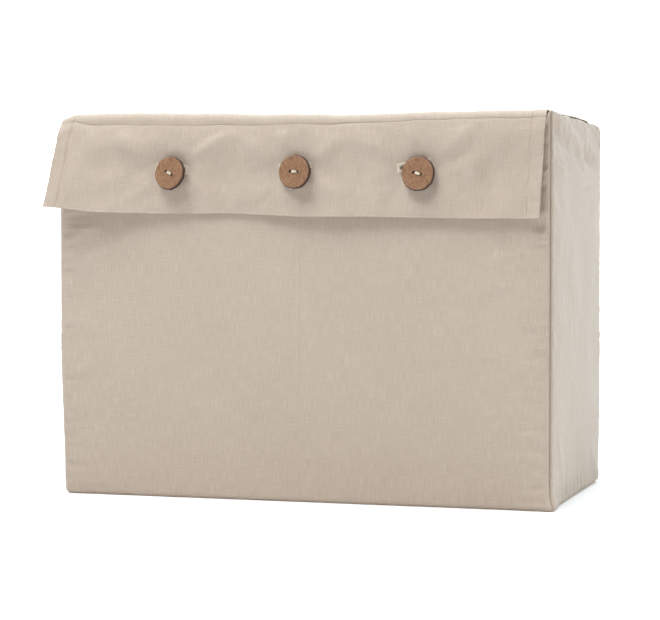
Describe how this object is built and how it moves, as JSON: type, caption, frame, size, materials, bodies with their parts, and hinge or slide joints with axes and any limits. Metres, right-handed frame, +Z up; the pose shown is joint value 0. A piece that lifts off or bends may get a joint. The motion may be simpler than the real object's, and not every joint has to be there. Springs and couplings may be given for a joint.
{
  "type": "fabric storage bin",
  "caption": "Upright rectangular fabric storage bin with board-stiffened walls, a cloth-hinged lid and a front flap held by round buttons.",
  "frame": {"origin": "middle of the base, on the floor", "axes": "+X to the right seen from the front, front faces -Y, +Z up"},
  "size_m": [0.4005, 0.2287, 0.3045],
  "materials": {
    "beige_canvas": "plain-woven linen and cotton canvas, matt",
    "cotton_lining": "thin plain cotton, matt",
    "stiffening_board": "uncoated grey board",
    "coconut_button": "turned coconut shell, satin",
    "cotton_thread": "twisted cotton thread"
  },
  "bodies": {
    "bin": {"front_panel": "beige_canvas", "back_panel": "beige_canvas", "left_panel": "beige_canvas", "right_panel": "beige_canvas", "bottom_panel": "beige_canvas", "front_facing": "beige_canvas", "back_facing": "beige_canvas", "left_facing": "beige_canvas", "right_facing": "beige_canvas", "front_left_seam": "beige_canvas", "front_right_seam": "beige_canvas", "back_left_seam": "beige_canvas", "back_right_seam": "beige_canvas", "front_lining": "cotton_lining", "back_lining": "cotton_lining", "left_lining": "cotton_lining", "right_lining": "cotton_lining", "base_lining": "cotton_lining", "front_board": "stiffening_board", "back_board": "stiffening_board", "left_board": "stiffening_board", "right_board": "stiffening_board", "base_board": "stiffening_board"},
    "lid": {"lid_panel": "beige_canvas", "lid_board": "stiffening_board", "lid_lining": "cotton_lining"},
    "flap": {"flap_panel": "beige_canvas", "flap_lining": "cotton_lining", "left_hem_stitches": "cotton_thread", "right_hem_stitches": "cotton_thread", "left_buttonhole": "cotton_thread", "middle_buttonhole": "cotton_thread", "right_buttonhole": "cotton_thread"},
    "left_button": {"left_button": "coconut_button", "left_thread": "cotton_thread"},
    "middle_button": {"middle_button": "coconut_button", "middle_thread": "cotton_thread"},
    "right_button": {"right_button": "coconut_button", "right_thread": "cotton_thread"}
  },
  "joints": [
    {"name": "lid_hinge", "type": "hinge", "parent": "bin", "child": "lid", "pos_m": [0, 0.1075, 0.3045], "axis": [-1, 0, 0], "range_deg": [0, 250]},
    {"name": "flap_fold", "type": "hinge", "parent": "lid", "child": "flap", "pos_m": [0, -0.1102, 0.2965], "axis": [-1, 0, 0], "range_deg": [0, 165], "deforming": ["left_buttonhole", "middle_buttonhole", "right_buttonhole"]},
    {"name": "left_button_tilt", "type": "hinge", "parent": "bin", "child": "left_button", "pos_m": [-0.104, -0.1075, 0.25804], "axis": [1, 0, 0], "range_deg": [-5, 5]},
    {"name": "middle_button_tilt", "type": "hinge", "parent": "bin", "child": "middle_button", "pos_m": [-0.002, -0.1075, 0.25804], "axis": [1, 0, 0], "range_deg": [-5, 5]},
    {"name": "right_button_tilt", "type": "hinge", "parent": "bin", "child": "right_button", "pos_m": [0.1, -0.1075, 0.25804], "axis": [1, 0, 0], "range_deg": [-5, 5]}
  ]
}
